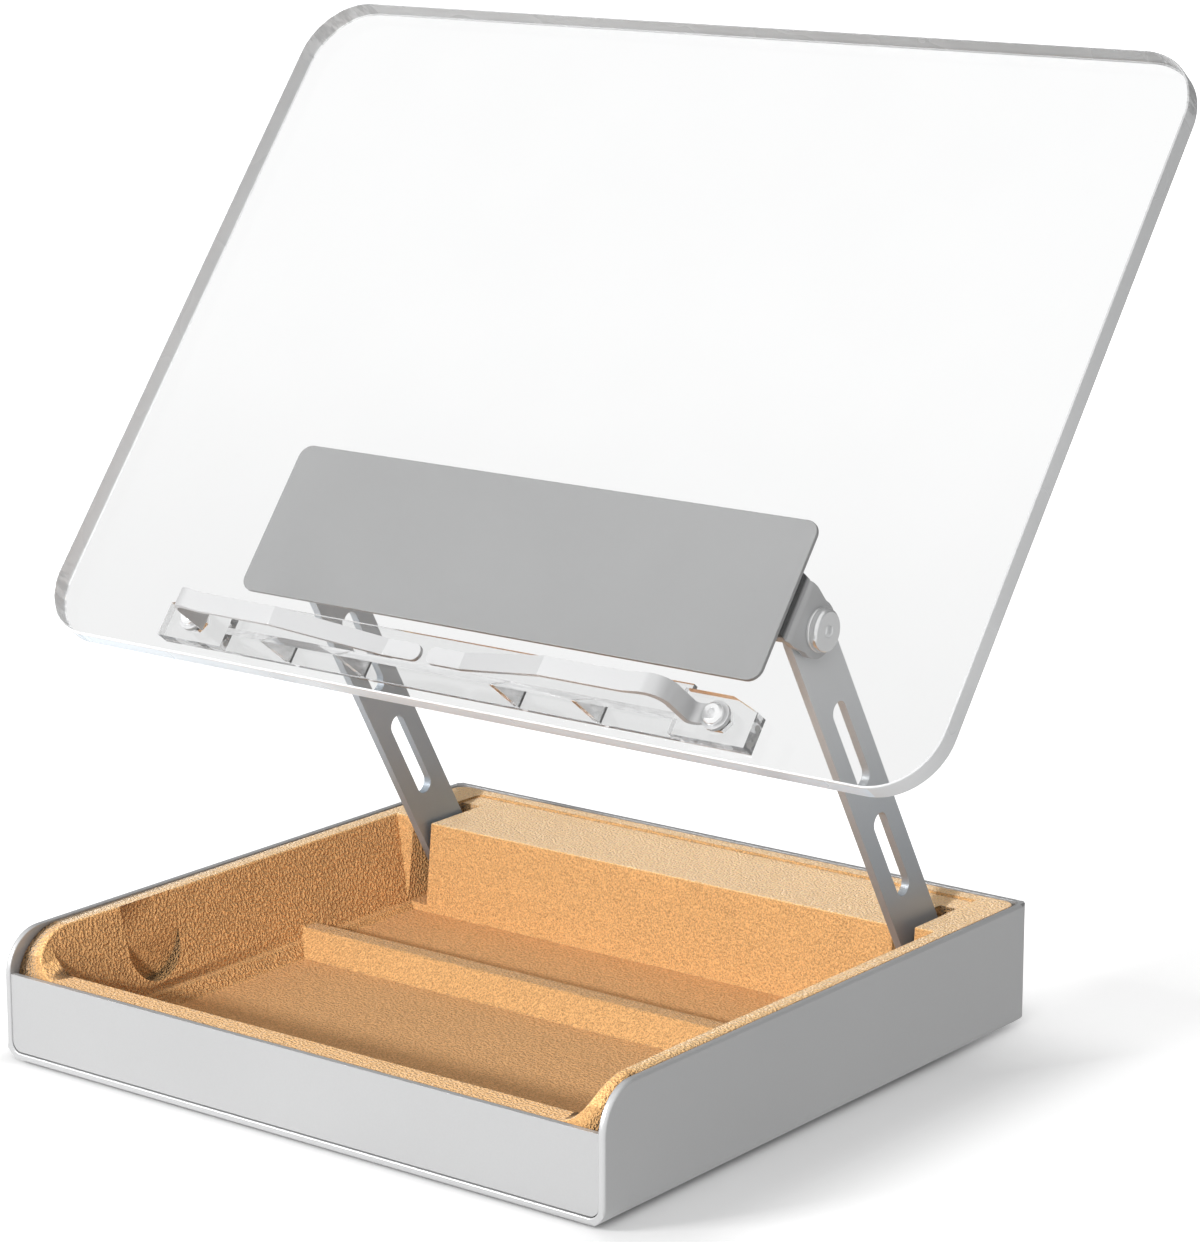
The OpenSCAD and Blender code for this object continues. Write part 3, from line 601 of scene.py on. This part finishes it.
# metal and moulded pieces that keep the solid's form and get broken edges: node, piece name, radius in mm, steps
brokenEdges = [
    ("front_panel", "frontPanel", 0.45, 3),
    ("arm_left", "armLeft", 0.3, 2),
    ("arm_right", "armRight", 0.3, 2),
    ("back_plate", "backPlate", 0.2, 2),
    ("hinge_bracket", "hingeBracket", 0.3, 2),
    ("spacer_pad", "spacerPad", 0.3, 2),
    ("base_bracket_left", "baseBracketLeft", 0.25, 2),
    ("base_bracket_right", "baseBracketRight", 0.25, 2),
    ("rubber_feet", "rubberFeet", 0.3, 2),
    ("pivot_screw_left", "pivotScrewLeft", 0.25, 2),
    ("pivot_screw_right", "pivotScrewRight", 0.25, 2),
    ("pivot_washer_left", "pivotWasherLeft", 0.2, 2),
    ("pivot_washer_right", "pivotWasherRight", 0.2, 2),
    ("friction_washer_left", "frictionWasherLeft", 0.15, 2),
    ("friction_washer_right", "frictionWasherRight", 0.15, 2),
    ("inner_washers", "innerWashers", 0.15, 2),
    ("lock_nut_left", "lockNutLeft", 0.3, 2),
    ("lock_nut_right", "lockNutRight", 0.3, 2),
    ("base_pin_left", "basePinLeft", 0.2, 2),
    ("base_pin_right", "basePinRight", 0.2, 2),
    ("base_nuts", "baseNuts", 0.3, 2),
    ("thrust_washers", "thrustWashers", 0.15, 2),
    ("clip_screw_left", "clipScrewLeft", 0.12, 2),
    ("clip_screw_right", "clipScrewRight", 0.12, 2),
    ("clip_washers", "clipWashers", 0.1, 2),
    ("clip_nuts", "clipNuts", 0.2, 2),
    ("bracket_screws", "bracketScrews", 0.12, 2),
    ("floor_screws", "floorScrews", 0.12, 2),
    ("panel_screws", "panelScrews", 0.12, 2),
]
ownFinish = {"hinge_bracket": earFinish, "arm_left": innerArm,
             "spacer_pad": wrappedPadPaintedBendShade("wrappedPadPaintedBendShade", (panelTurn, 0, 0), onPanel.translation, -8.6 * mm, -10.2 * mm)}


# the front panel closes on the lip around it, so that only a shallow groove is left between the two rounded edges
def closeGroove(bm, gap=0.28):
    ends = max(v.co.x for v in bm.verts)
    foot = min(v.co.z for v in bm.verts)
    for v in bm.verts:
        if abs(v.co.x) > ends - 9 * mm:
            v.co.x += math.copysign(gap * mm, v.co.x)
        if v.co.z < foot + 9 * mm:
            v.co.z -= gap * mm


for node, name, radius, steps in brokenEdges:
    copy = nodeCopy(node)
    if node == "front_panel":
        closeGroove(copy)
    roundOver(copy, sharpEdges(copy), radius, steps)
    makePiece(copy, name, [ownFinish.get(node, finishes[slotOf[node]])], node)
print("metal pieces made:", len(brokenEdges))

# plain pale studio: a white floor that keeps the shadow, soft light that is stronger from the left front; the floor's
# glow for the camera is painted light, weaker beside the base's right side so that the cast shadow shows there, and
# its reflections carry painted shade to the right
studio = {"floor": 8.0, "sky": (-0.75, -0.55, 0.37), "skyLow": 0.25, "skyHigh": 0.66, "backMirror": 0.22,
          "keyPlace": (-0.9, -1.35, 0.8), "keyAim": (0, 0, 0.08), "keyPower": 18.0, "keySize": 0.5,
          "liftShade": 0.04, "liftOut": 0.34, "liftFoot": 0.02, "liftClear": 0.62, "floorMirror": 0.5,
          "trayPlace": (0.425, -1.70, 0.62), "trayAim": (0, 0, 0.02), "trayPower": 33.0, "traySize": 0.13,
          "fillPlace": (0.9, -1.3, 1.25), "fillPower": 14.0, "fillSize": 1.2}


def makeFloor(given):
    bm = bmesh.new()
    bmesh.ops.create_grid(bm, x_segments=2, y_segments=2, size=given["floor"] / 2)
    mesh = bpy.data.meshes.new("studioFloor")
    bm.to_mesh(mesh)
    bm.free()
    material, tree, shader = startMaterial("studioFloor")
    tree.nodes.remove(shader)
    path = addNode(tree, "ShaderNodeLightPath").outputs
    place = objectPlace(tree)
    axes = addNode(tree, "ShaderNodeSeparateXYZ", Vector=place).outputs
    away = addNode(tree, "ShaderNodeVectorMath", {"operation": "LENGTH"})
    feed(tree, away.inputs[0], place)
    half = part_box("base_shell")[1]
    past = [calc(tree, "MAXIMUM", calc(tree, "SUBTRACT", calc(tree, "ABSOLUTE", axes[a]), half[i]), 0.0)
            for i, a in enumerate("XY")]
    gap = calc(tree, "SQRT", calc(tree, "ADD", calc(tree, "POWER", past[0], 2.0), calc(tree, "POWER", past[1], 2.0)))
    # painted light: the camera sees the floor glow more with distance from the base, and little beside its right side,
    # where the cast shadow is kept
    clearSide = remap(tree, gap, 0.0, 0.02, given["liftFoot"], given["liftClear"])
    out = calc(tree, "MAXIMUM", remap(tree, axes["X"], 0.112, 0.145, 0.0, 1.0), remap(tree, axes["Y"], 0.05, 0.11, 0.0, 1.0))
    darkSide = mixValue(tree, out, given["liftShade"], given["liftOut"])
    side = calc(tree, "MULTIPLY", remap(tree, axes["X"], 0.07, 0.105, 0.0, 1.0), remap(tree, axes["Y"], -0.135, -0.085, 0.0, 1.0))
    lift = calc(tree, "MAXIMUM", mixValue(tree, side, clearSide, darkSide),
                remap(tree, away.outputs["Value"], 0.2, 0.7, 0.0, 1.0))
    matte = addNode(tree, "ShaderNodeBsdfDiffuse", Color=(0.88, 0.88, 0.88, 1)).outputs[0]
    glow = addNode(tree, "ShaderNodeEmission", Strength=calc(tree, "MULTIPLY", lift, path["Is Camera Ray"])).outputs[0]
    seen = addNode(tree, "ShaderNodeAddShader")
    feed(tree, seen.inputs[0], matte)
    feed(tree, seen.inputs[1], glow)
    # painted shade in reflections: the floor seen in metal and glass is darker to the right of the base, except in
    # front of it
    mirrorSide = calc(tree, "MULTIPLY", remap(tree, axes["X"], -0.05, 0.12, 0.0, 1.0),
                      remap(tree, axes["Y"], -0.12, -0.08, 0.0, 1.0))
    mirrorTone = mixValue(tree, mirrorSide, 1.0, given["floorMirror"])
    white = addNode(tree, "ShaderNodeEmission",
                    Strength=mixValue(tree, path["Is Transmission Ray"], mirrorTone, 1.0)).outputs[0]
    pick = addNode(tree, "ShaderNodeMixShader")
    feed(tree, pick.inputs[0], calc(tree, "MULTIPLY", calc(tree, "MAXIMUM", path["Is Glossy Ray"], path["Is Transmission Ray"]),
                                    unscattered(tree, path)))
    feed(tree, pick.inputs[1], seen.outputs[0])
    feed(tree, pick.inputs[2], white)
    feed(tree, tree.nodes["Material Output"].inputs["Surface"], pick.outputs[0])
    mesh.materials.append(material)
    floor = bpy.data.objects.new("studioFloor", mesh)
    bpy.context.scene.collection.objects.link(floor)


# 1 on a path that has met no matt surface yet, else 0
def unscattered(tree, path):
    return calc(tree, "SUBTRACT", 1.0, calc(tree, "MINIMUM", path["Diffuse Depth"], 1.0))


def makeWorld(given):
    world = bpy.data.worlds.new("studio")
    bpy.context.scene.world = world
    world.use_nodes = True
    tree = world.node_tree
    path = addNode(tree, "ShaderNodeLightPath").outputs
    aim = addNode(tree, "ShaderNodeTexCoord").outputs["Generated"]
    toward = addNode(tree, "ShaderNodeVectorMath", {"operation": "DOT_PRODUCT"})
    feed(tree, toward.inputs[0], aim)
    feed(tree, toward.inputs[1], given["sky"])
    ambient = addNode(tree, "ShaderNodeMapRange", Value=toward.outputs["Value"], From_Min=-1.0, From_Max=1.0,
                      To_Min=given["skyLow"], To_Max=given["skyHigh"]).outputs["Result"]
    back = addNode(tree, "ShaderNodeSeparateXYZ", Vector=aim).outputs["Y"]
    mirrored = remap(tree, back, -0.3, 0.8, 1.0, given["backMirror"])
    through = calc(tree, "MULTIPLY", path["Is Transmission Ray"], unscattered(tree, path))
    level = mixValue(tree, path["Is Glossy Ray"], ambient, mirrored)
    level = mixValue(tree, calc(tree, "MULTIPLY", path["Is Transmission Ray"], calc(tree, "MINIMUM", path["Diffuse Depth"], 1.0)),
                     level, ambient)
    level = mixValue(tree, calc(tree, "MAXIMUM", path["Is Camera Ray"], through), level, 1.0)
    tree.nodes["Background"].inputs["Color"].default_value = (1, 1, 1, 1)
    feed(tree, tree.nodes["Background"].inputs["Strength"], level)


# a lamp that lights only the receiver, or all but the receiver
def makeLamp(name, place, aim, power, size, receiver, only, mirrored=True):
    data = bpy.data.lights.new(name, "AREA")
    data.energy = power
    data.size = size
    lamp = bpy.data.objects.new(name, data)
    lamp.location = place
    lamp.rotation_euler = (Vector(aim) - lamp.location).to_track_quat("-Z", "Y").to_euler()
    lamp.visible_transmission = False
    lamp.visible_glossy = mirrored
    bpy.context.scene.collection.objects.link(lamp)
    lit = bpy.data.collections.new(name + "Receivers")
    lit.objects.link(receiver)
    lit.collection_objects[0].light_linking.link_state = "INCLUDE" if only else "EXCLUDE"
    lamp.light_linking.receiver_collection = lit


makeFloor(studio)
makeWorld(studio)
makeLamp("keyLamp", studio["keyPlace"], studio["keyAim"], studio["keyPower"], studio["keySize"], trayPiece, False)
makeLamp("fillLamp", studio["fillPlace"], studio["keyAim"], studio["fillPower"], studio["fillSize"], trayPiece, False, False)
makeLamp("trayLamp", studio["trayPlace"], studio["trayAim"], studio["trayPower"], studio["traySize"], trayPiece, True)
bpy.context.scene.view_settings.view_transform = "Standard"
print("studio made")
